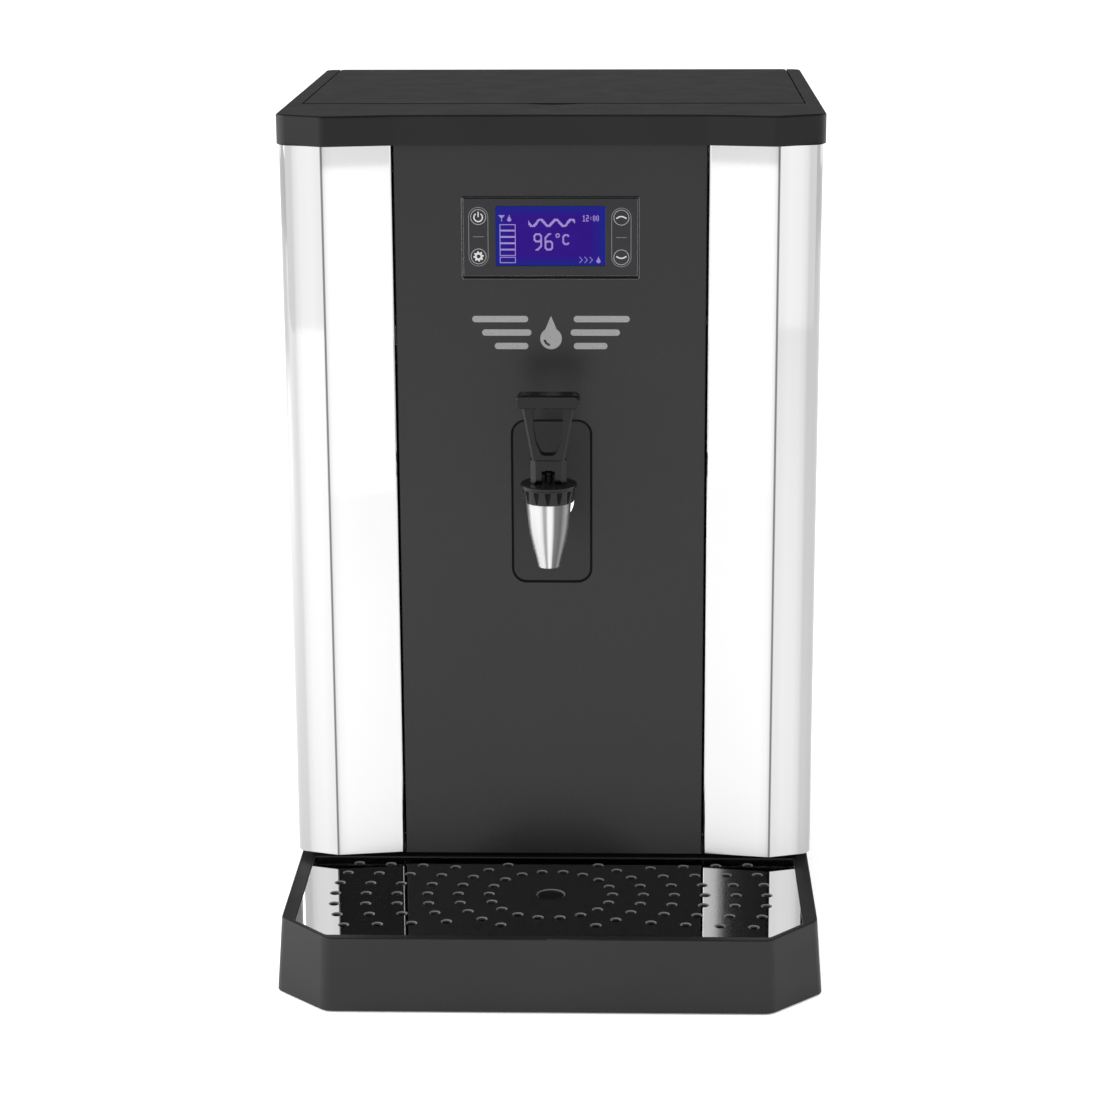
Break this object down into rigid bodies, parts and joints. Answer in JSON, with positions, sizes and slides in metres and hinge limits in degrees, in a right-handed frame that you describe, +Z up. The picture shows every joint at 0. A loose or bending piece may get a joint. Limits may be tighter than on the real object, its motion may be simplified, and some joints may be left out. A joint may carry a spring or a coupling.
{
  "type": "countertop water dispenser",
  "caption": "Countertop automatic-fill hot water dispenser with a lever tap, touch display, hinged top access door and a lift-out perforated drip plate in a tray.",
  "frame": {"origin": "centre of the bounding box's bottom face, on the worktop under the feet", "axes": "+Z up, +Y towards the rear of the cabinet, +X to the user's right"},
  "size_m": [0.347, 0.472, 0.545],
  "materials": {
    "black_moulding": "fine moulded grain, matt",
    "rubber": "plain rubber",
    "galvanised_steel": "zinc plated sheet",
    "polished_steel": "polished stainless sheet",
    "black_panel": "matt black coated sheet",
    "rear_steel": "plain stainless sheet",
    "screw_steel": "plated fastener",
    "bay_moulding": "smooth moulding",
    "white_plastic": "white moulding",
    "gloss_overlay": "gloss printed overlay",
    "lcd": "backlit display glass",
    "circuit_board": "solder resist",
    "brass": "machined brass",
    "tap_chrome": "polished steel",
    "silicone": "translucent silicone",
    "tap_plastic": "satin black moulding",
    "stem_steel": "turned stainless",
    "mirror_plate": "mirror polished stainless sheet",
    "tank_steel": "passivated stainless",
    "element_sheath": "element sheath",
    "insulation": "fibre jacket",
    "valve_plastic": "natural nylon",
    "hose_silicone": "silicone hose",
    "gland_plastic": "black nylon"
  },
  "bodies": {
    "cabinet": {"base_plinth": "black_moulding", "rubber_feet": "rubber", "chassis_deck": "galvanised_steel", "side_panel_left": "polished_steel", "side_panel_right": "polished_steel", "front_panel": "black_panel", "rear_panel": "rear_steel", "panel_screws": "screw_steel", "lid_frame": "black_moulding", "door_hinge_pins": "screw_steel", "filter_bay": "bay_moulding", "filter_well": "bay_moulding", "filter_head": "white_plastic", "filter_cartridge": "white_plastic", "display_overlay": "gloss_overlay", "lcd_module": "lcd", "display_circuit_board": "circuit_board", "display_standoffs": "brass", "electronics_bracket": "galvanised_steel", "control_circuit_board": "circuit_board", "terminal_block": "white_plastic", "tap_recess_plate": "black_moulding", "tap_body": "tap_chrome", "tap_escutcheon": "tap_chrome", "tap_shank_washer": "silicone", "tap_shank_nut": "brass", "tap_bonnet": "tap_plastic", "tap_spring": "stem_steel", "tank": "tank_steel", "tank_seal": "silicone", "tank_lid": "tank_steel", "tank_lid_bolts": "screw_steel", "level_probes": "tank_steel", "temperature_sensor": "stem_steel", "overheat_cutout": "white_plastic", "heating_element": "element_sheath", "element_gasket": "silicone", "tank_insulation": "insulation", "tank_cradle": "galvanised_steel", "inlet_connector": "brass", "inlet_solenoid_valve": "valve_plastic", "inlet_hose": "hose_silicone", "filter_hose": "hose_silicone", "overflow_hose": "hose_silicone", "tap_hose": "hose_silicone", "overflow_spigot": "valve_plastic", "cable_gland": "gland_plastic"},
    "door": {"access_door": "black_moulding"},
    "stem": {"tap_stem": "stem_steel", "tap_seat_cup": "silicone", "lever_pivot_pin": "stem_steel"},
    "lever": {"tap_lever": "tap_plastic"},
    "tray": {"drip_tray": "black_moulding"},
    "plate": {"drip_plate": "mirror_plate"}
  },
  "joints": [
    {"name": "door_hinge", "type": "hinge", "parent": "cabinet", "child": "door", "pos_m": [0, 0.21, 0.538], "axis": [-1, 0, 0], "range_deg": [0, 100]},
    {"name": "stem_lift", "type": "slide", "parent": "cabinet", "child": "stem", "axis": [0, 0, 1], "range_m": [0, 0.004], "stiffness_N_per_m": 900, "springref_m": -0.003, "deforming": ["tap_spring"]},
    {"name": "lever_tilt", "type": "hinge", "parent": "stem", "child": "lever", "pos_m": [0, -0.1587, 0.3293], "axis": [1, 0, 0], "range_deg": [0, 50.05]},
    {"name": "tray_slide", "type": "slide", "parent": "cabinet", "child": "tray", "axis": [0, -1, 0], "range_m": [0, 0.15]},
    {"name": "plate_tip", "type": "hinge", "parent": "tray", "child": "plate", "pos_m": [0, -0.09475, 0.04855], "axis": [-1, 0, 0], "range_deg": [0, 24]}
  ],
  "couplings": [
    {"joint": "lever_tilt", "follows": "stem_lift", "rad_per_m": 218.17}
  ]
}
